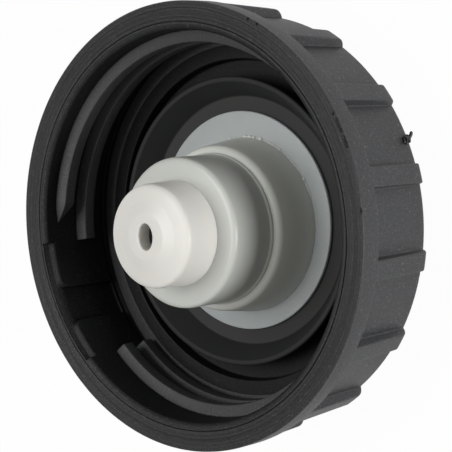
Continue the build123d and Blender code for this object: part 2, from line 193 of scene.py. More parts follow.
CARTRIDGE_TOP = 28.2
CARTRIDGE_BORE = 13.6
CARTRIDGE_HEAD_THICKNESS = 1.65
CARTRIDGE_ROUND = 1.3
SPIGOT_RADIUS = 14.85
SPIGOT_END = 13.4
CAGE_RIB_COUNT = 6
CAGE_RIB_WIDTH = 1.4
CAGE_RIB_FOOT = 17.4
CAGE_RADIUS = 5.86
CAGE_RIB_BEARING = 90.0
CAGE_RIB_EMBED = 0.6
CAGE_RIB_PLAY = 0.05
NOZZLE_FOOT = 11.3
NOZZLE_HEAD = 10.92
NOZZLE_SHOULDER = 36.87
NOZZLE_FACE = 37.32
NOZZLE_TIP = 38.15
NOZZLE_ROUND = 1.5
NOZZLE_PLAY = 0.05
BOSS_RADIUS = 4.9
BOSS_SLOPE = 2.6
BOSS_CROWN = 0.15
BOSS_FOOT_ROUND = 1.6
BOSS_HEAD_ROUND = 1.2
BORE_WIDTH = 4.0
BORE_LENGTH = 5.6
BORE_DEPTH = 3.5
NOZZLE_SPIGOT = 9.6
NOZZLE_WALL = 1.4
NOZZLE_CHAMBER_ROUND = 0.8
STOP_RIB_COUNT = 4
STOP_RIB_WIDTH = 1.2
STOP_RIB_FOOT = 30.34
STOP_RIB_BEARING = 45.0
STOP_RIB_INSET = 0.7
STOP_RIB_EMBED = 0.7

# Nib of flash on the closed face's edge, and the horn that tails off from it by radius, bearing and height
NIB_BEARING = 68.9
NIB_RADIUS = 45.6
NIB_HEIGHT = 2.0
NIB_SIZES = (0.8, 0.95, 0.95)
NIB_HORN_PLACES = (
    (45.6, 68.7, 1.5),
    (46.1, 68.3, 1.2),
    (46.4, 67.9, 1.0),
    (46.6, 67.5, 1.0),
    (46.6, 67.2, 1.0),
)
NIB_HORN_RADII = (0.42, 0.4, 0.36, 0.34, 0.18)
HORN_SIDES = 12
LUMP_DETAIL = 3
LUMP_GRAIN = 2.3
LUMP_ROUGHNESS = 0.45

# Gouges in the rim's outer edge: bearing and half length
RIM_GOUGES = (
    (61.8, 0.5), (63.6, 0.5), (64.4, 0.7), (65.4, 0.75), (66.3, 0.5), (68.2, 0.6), (69.3, 0.8), (70.3, 0.5),
    (26.9, 0.4), (30.0, 0.35), (86.0, 0.7),
)
GOUGE_RADIUS = 47.8
GOUGE_WIDTH = 0.34
GOUGE_DEPTH = 0.4

# Weld bead round the housing's foot, with its waves as rate and share, and its flecks as bearing and
# half length
FLASH_RADIUS = 19.5
FLASH_SIZE = 0.1
FLASH_SIDES = 8
FLASH_START = -12.0
FLASH_END = 74.0
FLASH_LIFT = 0.6
FLASH_WAVES = ((0.31, 0.5), (1.7, 0.35))
FLASH_FLECKS = ((3.5, 0.5), (7.0, 0.6), (10.5, 0.4), (16.0, 0.55), (33.0, 0.3), (60.0, 0.35))
FLECK_WIDTH = 0.3
FLECK_HEIGHT = 0.2
FLECK_OFFSET = 0.1

# Mesh resolution
ARC_POINTS = 5
ROUND_ROOM = 0.45
FINE_COLUMNS = 224
GUIDE_COLUMNS = 96
HOOK_STEPS = 24
FLASH_STEPS = 90
MERGE_DISTANCE = 1e-7
SOFT_ANGLE = math.radians(32.0)

# Rows of the shell's outside, below its smooth band
CLOSED_EDGE_LEVELS = (0.0, 0.05, 0.18, 0.38, 0.6)
RIB_HEEL_STEPS = 6
WALL_LEVELS = (6.0, 11.0, 16.0)
BAND_APPROACH = 19.5

# Columns of the shell: at a rib's sides, between ribs, at the gap's sides and at the slot's
RIB_INSETS = (-0.7, -0.3, -0.2, -0.09, -0.01, 0.01, 0.05, 0.13, 0.23, 0.35, 0.9, 1.6)
COLUMNS_BETWEEN_RIBS = 9
GAP_OFFSETS = (0.05, 0.12, 0.2)
SLOT_OFFSET = 0.02
SLOT_SHARES = (0.0, 0.05, 0.15, 0.3, 0.5, 0.7, 0.85, 1.0)

# Columns of the thread: degrees from an end, shares of the run-in, and degrees apart elsewhere
THREAD_EASES = (0.0, 0.05, 0.15, 0.3, 0.45)
RUN_IN_SHARES = (0.12, 0.2, 0.3, 0.42, 0.56, 0.7, 0.85, 1.0)
THREAD_STEP = 1.4

# Zones of the black finish: where each begins and where it is full
RIM_ZONE = (CAP_HEIGHT - 0.9, CAP_HEIGHT - 0.3)
MOUTH_ZONE = (CAP_HEIGHT - 1.5, CAP_HEIGHT - 4.0)
MOUTH_EDGE = (43.9, 43.6)
WALL_EDGE = (42.9, 42.1)
ABOVE_FACE = (1.0, 2.0)
ROOT_EDGE = (41.95, 41.75)
CREST_EDGE = (38.9, 39.2)
LIP_EDGE = (GASKET_LAND_RADIUS - 0.1, GASKET_LAND_RADIUS + 0.3)

# Linear colours of the black plastic, rubber, steel and felt
BLACK_DEEP = (0.010, 0.0102, 0.0118, 1.0)
BLACK_PALE = (0.016, 0.0164, 0.0186, 1.0)
BLACK_GRAIN = (0.074, 0.075, 0.084, 1.0)
BLACK_SPECK = (0.12, 0.12, 0.12, 1.0)
# Painted sheen: the thread's flanks made lighter, standing in for the light they catch
FLANK_PAINTED_SHEEN = (0.062, 0.062, 0.064, 1.0)
# Painted shade laid on the walls inside the mouth
INSIDE_PAINTED_SHADE = (0.003, 0.003, 0.0035, 1.0)
TURNED_DARK = (0.004, 0.004, 0.004, 1.0)
TURNED_PALE = (0.05, 0.05, 0.052, 1.0)
RUBBER_DEEP = (0.020, 0.021, 0.020, 1.0)
RUBBER_PALE = (0.028, 0.029, 0.028, 1.0)
RUBBER_LIP = (0.009, 0.009, 0.0105, 1.0)
STEEL_DEEP = (0.52, 0.52, 0.53, 1.0)
STEEL_PALE = (0.66, 0.66, 0.67, 1.0)
STEEL_WEAR = 0.12
FELT_DEEP = (0.42, 0.41, 0.37, 1.0)
FELT_PALE = (0.62, 0.61, 0.57, 1.0)

# White plastic: how light spreads in it, in metres, and how far its roughness strays
SKIN_REACH = (1.0, 0.92, 0.8)
SKIN_DEPTH = 0.0016
SKIN_SMOOTHER = 0.05
SKIN_ROUGHER = 0.07

# Camera, from a pinhole fitted to the photograph's rim, ribs and tiers; its clip is in metres
PHOTO_SIZE = 452.0
FOCAL_PIXELS = 1700.0
SENSOR = 36.0
CAMERA_PLACE = (243.1, 21.7, 293.4)
CAMERA_RIGHT = (0.7587, -0.0517, -0.6494)
CAMERA_UP = (0.0, 0.9969, -0.0794)
CAMERA_BACK = (0.6515, 0.0602, 0.7563)
CLIP_START = 0.01
CLIP_END = 10.0

# Floor and surrounding, in metres
FLOOR_HALF = 3.0
FLOOR_DROP = 0.0002
FLOOR_COLOUR = (0.82, 0.82, 0.82, 1.0)
FLOOR_ROUGHNESS = 0.8
FLOOR_GLOW = 0.97
PLAIN_WHITE = (1.0, 1.0, 1.0, 1.0)
SURROUND_COLOUR = (1.0, 0.99, 0.965, 1.0)
SURROUND_STRENGTH = 0.27


def polar(bearing):
    """Angle about Z in radians, counter-clockwise from +X, of a clockwise bearing from +Y."""
    return math.radians(90.0 - bearing)


def on_wall(radius, bearing, height, centre=CAP_AXIS):
    """Point in metres from a radius, a bearing and a height in millimetres."""
    angle = polar(bearing)
    across = radius * math.cos(angle) + centre[0]
    along = radius * math.sin(angle) + centre[1]
    return Vector((across, along, height)) * MM


def rounded(corners, closed=True):
    """Outline whose corners (radius, height, rounding) are eased by ARC_POINTS points each."""
    points = []
    count = len(corners)
    for number, corner in enumerate(corners):
        here = Vector(corner[:2])
        size = corner[2] if len(corner) > 2 else 0.0
        if size == 0.0 or (not closed and number in (0, count - 1)):
            points.append(tuple(here))
            continue
        back = Vector(corners[number - 1][:2]) - here
        ahead = Vector(corners[(number + 1) % count][:2]) - here
        room = ROUND_ROOM * min(back.length, ahead.length)
        back.normalize()
        ahead.normalize()
        half = 0.5 * back.angle(ahead, math.pi)
        reach = min(room, size / max(math.tan(half), 1e-6))
        for step in range(ARC_POINTS):
            share = step / (ARC_POINTS - 1)
            a = here + back * reach
            b = here + ahead * reach
            points.append(tuple(a * (1 - share) ** 2 + here * 2 * share * (1 - share) + b * share ** 2))
    return points


def mesh_object(name, vertices, faces):
    mesh = bpy.data.meshes.new(name)
    mesh.from_pydata(vertices, [], faces)
    mesh.validate()
    build = bmesh.new()
    build.from_mesh(mesh)
    bmesh.ops.remove_doubles(build, verts=build.verts, dist=MERGE_DISTANCE)
    bmesh.ops.recalc_face_normals(build, faces=build.faces)
    build.to_mesh(mesh)
    build.free()
    made = bpy.data.objects.new(name, mesh)
    bpy.context.scene.collection.objects.link(made)
    return made


def soften(made):
    """Smooth shading, with an edge kept sharp where its faces meet at a real corner."""
    made.data.shade_smooth()
    made.data.set_sharp_from_angle(angle=SOFT_ANGLE)


def grid_faces(rows, columns, wrap_rows, wrap_columns):
    """Faces between rows and columns of points, which may close on themselves."""
    faces = []
    for row in range(rows if wrap_rows else rows - 1):
        for column in range(columns if wrap_columns else columns - 1):
            below = (row + 1) % rows
            beside = (column + 1) % columns
            faces.append((
                row * columns + column,
                row * columns + beside,
                below * columns + beside,
                below * columns + column,
            ))
    return faces


def ring_at(name, corners_at, centre=CAP_AXIS, columns=FINE_COLUMNS):
    """Ring whose closed outline, off the axis, may change with the bearing."""
    outlines = [rounded(corners_at(FULL_TURN * column / columns)) for column in range(columns)]
    rows = len(outlines[0])
    vertices = []
    for row in range(rows):
        for column, outline in enumerate(outlines):
            radius, height = outline[row]
            vertices.append(on_wall(radius, FULL_TURN * column / columns, height, centre))
    return mesh_object(name, vertices, grid_faces(rows, columns, True, True))


def ring(name, corners, centre=CAP_AXIS, columns=FINE_COLUMNS):
    """Ring with the same closed outline at every bearing."""
    return ring_at(name, lambda bearing: corners, centre, columns)


def even_bearings(start, end, steps):
    return [start + (end - start) * step / steps for step in range(steps + 1)]


def bearings_round(first, count, turn=-FULL_TURN):
    """Even bearings round a centre, anticlockwise unless the turn is positive."""
    return [first + turn * number / count for number in range(count)]


def bar_faces(rows, columns):
    """Faces of a closed bar: its sides and its two flat ends."""
    faces = grid_faces(rows, columns, False, True)
    faces.append(tuple(range(columns)))
    faces.append(tuple((rows - 1) * columns + number for number in range(columns)))
    return faces


def bar_along(name, bearings, outline_at, centre=CAP_AXIS):
    """Closed bar along an arc; outline_at(bearing) gives its (radius, height) outline there."""
    outlines = [outline_at(bearing) for bearing in bearings]
    vertices = []
    for bearing, outline in zip(bearings, outlines):
        vertices += [on_wall(radius, bearing, height, centre) for radius, height in outline]
    return mesh_object(name, vertices, bar_faces(len(bearings), len(outlines[0])))


def box_bar(name, corner_low, corner_high, bearing, centre):
    """Plain bar given along +X and turned to a bearing."""
    turn = Matrix.Rotation(polar(bearing), 4, "Z")
    low = Vector(corner_low)
    high = Vector(corner_high)
    vertices = []
    for x in (low.x, high.x):
        for y in (low.y, high.y):
            for z in (low.z, high.z):
                vertices.append((turn @ Vector((x, y, z)) + Vector((centre[0], centre[1], 0))) * MM)
    faces = [(0, 1, 3, 2), (4, 6, 7, 5), (0, 4, 5, 1), (2, 3, 7, 6), (0, 2, 6, 4), (1, 5, 7, 3)]
    return mesh_object(name, vertices, faces)


def bars_at(name, bearings, corner_low, corner_high, centre=CAP_AXIS):
    """The same plain bar at each of some bearings round a centre."""
    bars = []
    for number, bearing in enumerate(bearings):
        bars.append(box_bar("%s_%d" % (name, number), corner_low, corner_high, bearing, centre))
    return bars


def combine(base, others, operation):
    """Joins closed meshes to a base, or cuts them from it, and deletes them."""
    for other in others:
        change = base.modifiers.new("change", "BOOLEAN")
        change.operation = operation
        change.solver = "MANIFOLD"
        change.object = other
        graph = bpy.context.evaluated_depsgraph_get()
        result = bpy.data.meshes.new_from_object(base.evaluated_get(graph))
        base.modifiers.clear()
        base.data = result
        bpy.data.objects.remove(other)
    return base


def lump(name, radius, bearing, height, sizes, centre=CAP_AXIS):
    """Rough pebble; its sizes run outward, along the arc and up."""
    turn = Matrix.Rotation(polar(bearing), 3, "Z")
    place = on_wall(radius, bearing, height, centre)
    build = bmesh.new()
    bmesh.ops.create_icosphere(build, subdivisions=LUMP_DETAIL, radius=1.0)
    vertices = []
    for point in build.verts:
        rough = 1.0 + LUMP_ROUGHNESS * noise.noise(LUMP_GRAIN * point.co + Vector((bearing, radius, height)))
        scaled = Vector([rough * size * share for size, share in zip(sizes, point.co)])
        vertices.append(place + (turn @ scaled) * MM)
    faces = [tuple(corner.index for corner in face.verts) for face in build.faces]
    build.free()
    return mesh_object(name, vertices, faces)


def horn(name, places, radii):
    """Tapered bent tube through places given as radius, bearing and height."""
    path = [on_wall(*place) for place in places]
    vertices = []
    for number, (place, radius) in enumerate(zip(path, radii)):
        along = path[min(number + 1, len(path) - 1)] - path[max(number - 1, 0)]
        side = along.cross(Vector((0.0, 0.0, 1.0))).normalized()
        up = side.cross(along).normalized()
        for step in range(HORN_SIDES):
            angle = math.tau * step / HORN_SIDES
            vertices.append(place + (side * math.cos(angle) + up * math.sin(angle)) * radius * MM)
    return mesh_object(name, vertices, bar_faces(len(path), HORN_SIDES))


def shell_columns():
    """Bearings of the shell's columns: evenly spaced ones, and close ones at ribs, gap and slot."""
    bearings = set()
    rib_pitch = FULL_TURN / RIB_COUNT
    rib_degree = math.degrees(1.0 / RIB_HEAD_RADIUS)
    edge = 0.5 * RIB_WIDTH * rib_degree
    for rib in range(RIB_COUNT):
        centre = RIB_BEARING + rib * rib_pitch
        bearings.add(centre)
        for inset in RIB_INSETS:
            offset = (0.5 * RIB_WIDTH - inset) * rib_degree
            bearings.update((centre - offset, centre + offset))
        for step in range(1, COLUMNS_BETWEEN_RIBS):
            bearings.add(centre + edge + (rib_pitch - 2.0 * edge) * step / COLUMNS_BETWEEN_RIBS)
    wall_degree = math.degrees(1.0 / ROOT_RADIUS)
    for side in (GAP_START, GAP_END):
        for length in GAP_OFFSETS:
            offset = length * wall_degree
            bearings.update((side - offset, side + offset))
    half = 0.5 * SLOT_WIDTH
    lengths = [half + SLOT_OFFSET + share * SLOT_ROUND for share in SLOT_SHARES]
    lengths += [half - SLOT_OFFSET, 0.5 * half]
    for length in lengths:
        offset = length * wall_degree
        bearings.update((SLOT_BEARING - offset, SLOT_BEARING + offset))
    return sorted(set(round(bearing % FULL_TURN, 5) for bearing in bearings))


def rib_inset(bearing):
    """Distance in from the side of the nearest rib; negative outside it."""
    pitch = FULL_TURN / RIB_COUNT
    offset = (bearing - RIB_BEARING + 0.5 * pitch) % pitch - 0.5 * pitch
    return 0.5 * RIB_WIDTH - abs(math.radians(offset)) * RIB_HEAD_RADIUS


def arc_drop(size, distance):
    """How far a quarter-round of a size falls below its crown, at a distance from its end."""
    if distance >= size:
        return 0.0
    return size - math.sqrt(max(size * size - (size - distance) ** 2, 0.0))


def outer_radius(height, inset):
    """Radius of the shell's outside, wall or rib, at a height."""
    share = height / BAND_FOOT
    wall = WALL_FOOT_RADIUS + (WALL_HEAD_RADIUS - WALL_FOOT_RADIUS) * share
    wall -= arc_drop(CLOSED_EDGE_ROUND, height)
    if height <= RIB_HEEL_HEIGHT:
        return wall
    rib = RIB_HEEL_RADIUS + (RIB_HEAD_RADIUS - RIB_HEEL_RADIUS) * share
    rib -= arc_drop(RIB_HEEL_ROUND, height - RIB_HEEL_HEIGHT)
    rise = max(0.0, rib - wall)
    edge = min(RIB_EDGE_ROUND, 0.5 * rise)
    foot = min(RIB_FOOT_ROUND, 0.5 * rise)
    if inset <= -foot or rise == 0.0:
        return wall
    if inset < 0.0:
        return wall + arc_drop(foot, -inset)
    return wall + rise - arc_drop(edge, inset)


def wobble(bearing, size):
    """Small irregular shift round the cap, as hand-trimmed moulding edges have."""
    angle = math.radians(bearing)
    waves = sum(share * math.sin(count * angle + phase) for count, share, phase in WANDER_WAVES)
    return size * waves / sum(share for count, share, phase in WANDER_WAVES)


def smooth_share(distance, width):
    """Rises softly from 0 to 1 as a distance goes from minus to plus a width."""
    share = min(1.0, max(0.0, 0.5 + 0.5 * distance / width))
    return share * share * (3.0 - 2.0 * share)


def shell_outline(bearing):
    """The shell's half section at a bearing, from the middle of its closed face round to its floor."""
    inset = rib_inset(bearing)
    levels = [*CLOSED_EDGE_LEVELS, RIB_HEEL_HEIGHT]
    for step in range(1, RIB_HEEL_STEPS + 1):
        turn = math.radians(90.0 * step / RIB_HEEL_STEPS)
        levels.append(RIB_HEEL_HEIGHT + RIB_HEEL_ROUND * (1.0 - math.cos(turn)))
    levels += [*WALL_LEVELS, BAND_APPROACH]
    outline = [(0.0, 0.0)] + [(outer_radius(level, inset), level) for level in levels]

    degree = math.radians(1.0) * ROOT_RADIUS
    in_gap = min(bearing - GAP_START, GAP_END - bearing) * degree
    gap = smooth_share(in_gap, GAP_SIDE_EASE)
    across = abs(bearing - SLOT_BEARING) * degree - 0.5 * SLOT_WIDTH
    in_slot = across < 0.0
    drop = SLOT_ROUND if in_slot else arc_drop(SLOT_ROUND, across)
    upper = ROOT_RADIUS + (MOUTH_RADIUS - ROOT_RADIUS) * gap
    wall = MOUTH_RADIUS if in_slot else ROOT_RADIUS
    step_top = CAP_HEIGHT - GAP_STEP_DEPTH - drop
    relief = LEDGE_TOP + RELIEF_HEIGHT
    relief_slope = SLOT_FOOT_RISE if in_slot else RELIEF_HEIGHT
    groove = RIM_GROOVE_OUTER + wobble(bearing, RIM_WANDER)
    groove_bottom = CAP_HEIGHT - RIM_GROOVE_DEPTH
    rim_step = CAP_HEIGHT - RIM_STEP_DEPTH
    mouth_lip = CAP_HEIGHT - MOUTH_LIP_DROP
    mouth_groove = MOUTH_GROOVE_RADIUS + wobble(bearing + MOUTH_WANDER_TURN, MOUTH_WANDER)
    corners = [
        (outer_radius(BAND_APPROACH, inset), BAND_APPROACH),
        (outer_radius(BAND_FOOT, inset), BAND_FOOT, WALL_HEAD_ROUND),
        (RIM_RADIUS, BAND_FOOT, BAND_FOOT_ROUND),
        (RIM_RADIUS, CAP_HEIGHT, RIM_EDGE_ROUND),
        (groove, CAP_HEIGHT, FINE_ROUND),
        (groove - RIM_GROOVE_SLOPE, groove_bottom, FINE_ROUND),
        (RIM_GROOVE_INNER + RIM_GROOVE_SLOPE, groove_bottom, SMALL_ROUND),
        (RIM_GROOVE_INNER, CAP_HEIGHT, SMALL_ROUND),
        (RIM_STEP_RADIUS, CAP_HEIGHT, FINE_ROUND),
        (RIM_STEP_RADIUS - RIM_STEP_SLOPE, rim_step, SMALL_ROUND),
        (mouth_groove + MOUTH_GROOVE_WIDTH, rim_step, HAIR_ROUND),
        (mouth_groove, CAP_HEIGHT - MOUTH_GROOVE_DEPTH, MOUTH_GROOVE_ROUND),
        (mouth_groove - MOUTH_GROOVE_WIDTH, mouth_lip, HAIR_ROUND),
        (MOUTH_RADIUS - MOUTH_DRAFT * (1.0 - gap), mouth_lip, FINE_ROUND),
        (upper, CAP_HEIGHT - MOUTH_CONE_DEPTH, WIDE_ROUND),
        (upper, step_top, PLAIN_ROUND),
        (wall, step_top - GAP_STEP_SLOPE, WIDE_ROUND),
        (wall, relief + relief_slope, SMALL_ROUND),
        (RELIEF_RADIUS, relief, SMALL_ROUND),
        (RELIEF_RADIUS, LEDGE_TOP, PLAIN_ROUND),
        (LEDGE_INNER_RADIUS, LEDGE_TOP, LEDGE_ROUND),
        (LEDGE_INNER_RADIUS, FLOOR_TOP, WIDE_ROUND),
        (VENT_START, FLOOR_TOP),
    ]
    return outline + rounded(corners, closed=False)[1:] + [(0.0, FLOOR_TOP)]


def thread_outline(bearing, start, end):
    """Section of the ridge at a bearing. Its ends are eased, and the first runs in from the wall."""
    top = CAP_HEIGHT - THREAD_START_DEPTH - THREAD_PITCH * (bearing - THREAD_START) / FULL_TURN
    taper = min(1.0, max(THREAD_POINT, (bearing - THREAD_START) / THREAD_TAPER))
    width = CREST_WIDTH * taper
    reach = ROOT_RADIUS - CREST_RADIUS
    stretch = (reach + THREAD_EMBED) / reach
    root = ROOT_RADIUS + THREAD_EMBED
    foot = LEDGE_TOP + RELIEF_HEIGHT
    to_end = min(bearing - start, end - bearing) * math.radians(1.0) * CREST_RADIUS
    crest = CREST_RADIUS + arc_drop(THREAD_END_ROUND, to_end)
    rise = UPPER_FLANK_RISE * stretch
    if start == THREAD_START:
        run_in = RUN_IN_SHARE * max(0.0, 1.0 - (bearing - start) / THREAD_RUN_IN) ** RUN_IN_CURVE
        crest += reach * run_in
        rise *= 1.0 - run_in
    return rounded([
        (crest, top, CREST_UPPER_ROUND),
        (root, top + rise),
        (root, max(foot, top - width - LOWER_FLANK_DROP * stretch * taper)),
        (crest, max(foot + THREAD_FOOT_STEP, top - width), CREST_LOWER_ROUND),
    ])


def thread_bar(name, start, end):
    """One stretch of the thread, with close columns where it runs in and where it ends."""
    bearings = [start + ease for ease in THREAD_EASES]
    bearings += [start + THREAD_RUN_IN * share for share in RUN_IN_SHARES]
    steps = round((end - bearings[-1]) / THREAD_STEP)
    bearings += [end + (bearings[-1] - end) * step / steps for step in range(steps - 1, 0, -1)]
    bearings += [end - ease for ease in reversed(THREAD_EASES)]
    return bar_along(name, bearings, lambda bearing: thread_outline(bearing, start, end))


def floor_hook(name, bearing):
    """Clip on the floor that holds the flange's bore."""
    inner = HOOK_RADIUS - HOOK_WIDTH
    outline = rounded([
        (inner, FLOOR_TOP - FLOOR_EMBED),
        (HOOK_RADIUS, FLOOR_TOP - FLOOR_EMBED),
        (HOOK_RADIUS, FLANGE_TOP),
        (HOOK_RADIUS + HOOK_REACH, FLANGE_TOP, HAIR_ROUND),
        (HOOK_RADIUS + HOOK_REACH, FLANGE_TOP + HOOK_HEAD / 3.0, HAIR_ROUND),
        (HOOK_RADIUS, FLANGE_TOP + HOOK_HEAD, SMALL_ROUND),
        (inner, FLANGE_TOP + HOOK_HEAD, SMALL_ROUND),
    ])
    start = bearing - 0.5 * HOOK_ANGLE
    bearings = even_bearings(start, start + HOOK_ANGLE, HOOK_STEPS)
    return bar_along(name, bearings, lambda at: outline, VALVE_AXIS)


def make_shell():
    bearings = shell_columns()
    outlines = [shell_outline(bearing) for bearing in bearings]
    rows = len(outlines[0])
    vertices = []
    for row in range(rows):
        for bearing, outline in zip(bearings, outlines):
            radius, height = outline[row]
            vertices.append(on_wall(radius, bearing, height))
    shell = mesh_object("shell", vertices, grid_faces(rows, len(bearings), False, True))

    gap_start = GAP_START + FULL_TURN
    gap_end = GAP_END + FULL_TURN
    added = [
        thread_bar("upper_turn", THREAD_START, gap_start),
        thread_bar("lower_turn", gap_end, gap_start + FULL_TURN),
        ring("spring_guide", [
            (GUIDE_RADIUS - GUIDE_WIDTH, FLOOR_TOP - FLOOR_EMBED),
            (GUIDE_RADIUS, FLOOR_TOP - FLOOR_EMBED),
            (GUIDE_RADIUS, FLOOR_TOP + GUIDE_HEIGHT, SMALL_ROUND),
            (GUIDE_RADIUS - GUIDE_WIDTH, FLOOR_TOP + GUIDE_HEIGHT, SMALL_ROUND),
        ], VALVE_AXIS, GUIDE_COLUMNS),
    ]
    for number, bearing in enumerate(bearings_round(HOOK_BEARING, HOOK_COUNT)):
        added.append(floor_hook("hook_%d" % number, bearing))
    added.append(lump("nib", NIB_RADIUS, NIB_BEARING, NIB_HEIGHT, NIB_SIZES))
    added.append(horn("nib_horn", NIB_HORN_PLACES, NIB_HORN_RADII))
    combine(shell, added, "UNION")

    cuts = []
    for number, (bearing, length) in enumerate(RIM_GOUGES):
        sizes = (GOUGE_WIDTH, length, GOUGE_DEPTH)
        cuts.append(lump("gouge_%d" % number, GOUGE_RADIUS, bearing, CAP_HEIGHT, sizes))
    low = (VENT_START, -0.5 * VENT_WIDTH, FLOOR_TOP - VENT_DEPTH)
    high = (VENT_END, 0.5 * VENT_WIDTH, FLOOR_TOP + VENT_DEPTH)
    cuts += bars_at("vent", bearings_round(VENT_BEARING, VENT_COUNT), low, high)
    return combine(shell, cuts, "DIFFERENCE")


def make_gasket():
    return ring("gasket", [
        (GASKET_BORE, FLOOR_TOP, FINE_ROUND),
        (GASKET_HEEL_RADIUS, FLOOR_TOP, FINE_ROUND),
        (GASKET_LIP_RADIUS, GASKET_LIP_EDGE, GASKET_EDGE_ROUND),
        (GASKET_LIP_RADIUS, GASKET_LIP_TOP, WIDE_ROUND),
        (GASKET_LIP_RADIUS - GASKET_BEAD, GASKET_LIP_TOP, WIDE_ROUND),
        (GASKET_LAND_RADIUS, GASKET_LAND_TOP, GASKET_LAND_ROUND),
        (GASKET_BORE, GASKET_LAND_TOP, FINE_ROUND),
    ])


def make_flange():
    """The flange lies on the cap's axis, and its bore on the valve's."""
    seat = SKIRT_RADIUS + FLANGE_SEAT_WIDTH

    def corners_at(bearing):
        angle = polar(bearing)
        ahead = VALVE_X * math.cos(angle) + VALVE_Y * math.sin(angle)
        beside = VALVE_X * math.sin(angle) - VALVE_Y * math.cos(angle)
        bore = ahead + math.sqrt(FLANGE_BORE ** 2 - beside ** 2)
        return [
            (bore, GASKET_LAND_TOP),
            (SKIRT_RADIUS - SKIRT_WIDTH, GASKET_LAND_TOP),
            (SKIRT_RADIUS - SKIRT_WIDTH, FLOOR_TOP, FINE_ROUND),
            (SKIRT_RADIUS, FLOOR_TOP, FINE_ROUND),
            (SKIRT_RADIUS, GASKET_LAND_TOP),
            (seat, GASKET_LAND_TOP),
            (seat + FLANGE_RELIEF, GASKET_LAND_TOP + FLANGE_RELIEF),
            (FLANGE_RADIUS, GASKET_LAND_TOP + FLANGE_RELIEF, HAIR_ROUND),
            (FLANGE_RADIUS, FLANGE_TOP, PLAIN_ROUND),
            (bore, FLANGE_TOP, FINE_ROUND),
        ]

    return ring_at("flange", corners_at)


def flash_outline(bearing):
    """Section of the bead squeezed out where the housing is welded to the flange."""
    size = FLASH_SIZE * (1.0 + sum(share * math.sin(rate * bearing) for rate, share in FLASH_WAVES))
    outline = []
    for step in range(FLASH_SIDES):
        angle = math.tau * step / FLASH_SIDES
        height = FLANGE_TOP + size * (FLASH_LIFT + math.sin(angle))
        outline.append((FLASH_RADIUS + size * math.cos(angle), height))
    return outline


def add_flash(housing):
    """Weld bead and loose flecks at the housing's foot."""
    bearings = even_bearings(FLASH_START, FLASH_END, FLASH_STEPS)
    marks = [bar_along("flash", bearings, flash_outline, VALVE_AXIS)]
    radius = FLASH_RADIUS + FLECK_OFFSET
    height = FLANGE_TOP + FLECK_HEIGHT
    for number, (bearing, length) in enumerate(FLASH_FLECKS):
        sizes = (FLECK_WIDTH, length, FLECK_HEIGHT)
        marks.append(lump("fleck_%d" % number, radius, bearing, height, sizes, VALVE_AXIS))
    return combine(housing, marks, "UNION")


def make_housing():
    chamber = HOUSING_FOOT - HOUSING_WALL
    bead_end = SEAT_BEAD + SEAT_BEAD_WIDTH
    bead_bottom = SHELF_BOTTOM - SEAT_BEAD_HEIGHT
    return ring("housing", [
        (chamber, FLANGE_TOP),
        (HOUSING_FOOT, FLANGE_TOP, HAIR_ROUND),
        (HOUSING_HEAD, HOUSING_TOP, HOUSING_ROUND),
        (HOUSING_BORE, HOUSING_TOP),
        (HOUSING_BORE, SHELF_TOP),
        (SHELF_BORE, SHELF_TOP, HAIR_ROUND),
        (SHELF_BORE, SHELF_BOTTOM, HAIR_ROUND),
        (SEAT_BEAD, SHELF_BOTTOM),
        (SEAT_BEAD, bead_bottom, HAIR_ROUND),
        (bead_end, bead_bottom, HAIR_ROUND),
        (bead_end, SHELF_BOTTOM),
        (chamber - CHAMBER_DRAFT, SHELF_BOTTOM, PLAIN_ROUND),
    ], VALVE_AXIS)


def make_cartridge():
    """Middle tier, with the ribs of the ball's cage inside."""
    bore_top = CARTRIDGE_TOP - CARTRIDGE_HEAD_THICKNESS
    foot_top = HOUSING_TOP + CARTRIDGE_FOOT_HEIGHT
    head_bore = NOZZLE_SPIGOT + NOZZLE_PLAY
    body = ring("cartridge", [
        (CARTRIDGE_BORE, SPIGOT_END, HAIR_ROUND),
        (SPIGOT_RADIUS, SPIGOT_END, HAIR_ROUND),
        (SPIGOT_RADIUS, HOUSING_TOP),
        (CARTRIDGE_FOOT, HOUSING_TOP, HAIR_ROUND),
        (CARTRIDGE_FOOT, foot_top, FINE_ROUND),
        (CARTRIDGE_RADIUS, foot_top + CARTRIDGE_FOOT_SLOPE, FINE_ROUND),
        (CARTRIDGE_RADIUS, CARTRIDGE_TOP, CARTRIDGE_ROUND),
        (head_bore, CARTRIDGE_TOP),
        (head_bore, bore_top),
        (CARTRIDGE_BORE, bore_top, SMALL_ROUND),
    ], VALVE_AXIS)
    low = (CAGE_RADIUS, -0.5 * CAGE_RIB_WIDTH, CAGE_RIB_FOOT)
    high = (CARTRIDGE_BORE + CAGE_RIB_EMBED, 0.5 * CAGE_RIB_WIDTH, bore_top - CAGE_RIB_PLAY)
    bearings = bearings_round(CAGE_RIB_BEARING, CAGE_RIB_COUNT)
    return combine(body, bars_at("cage_rib", bearings, low, high, VALVE_AXIS), "UNION")


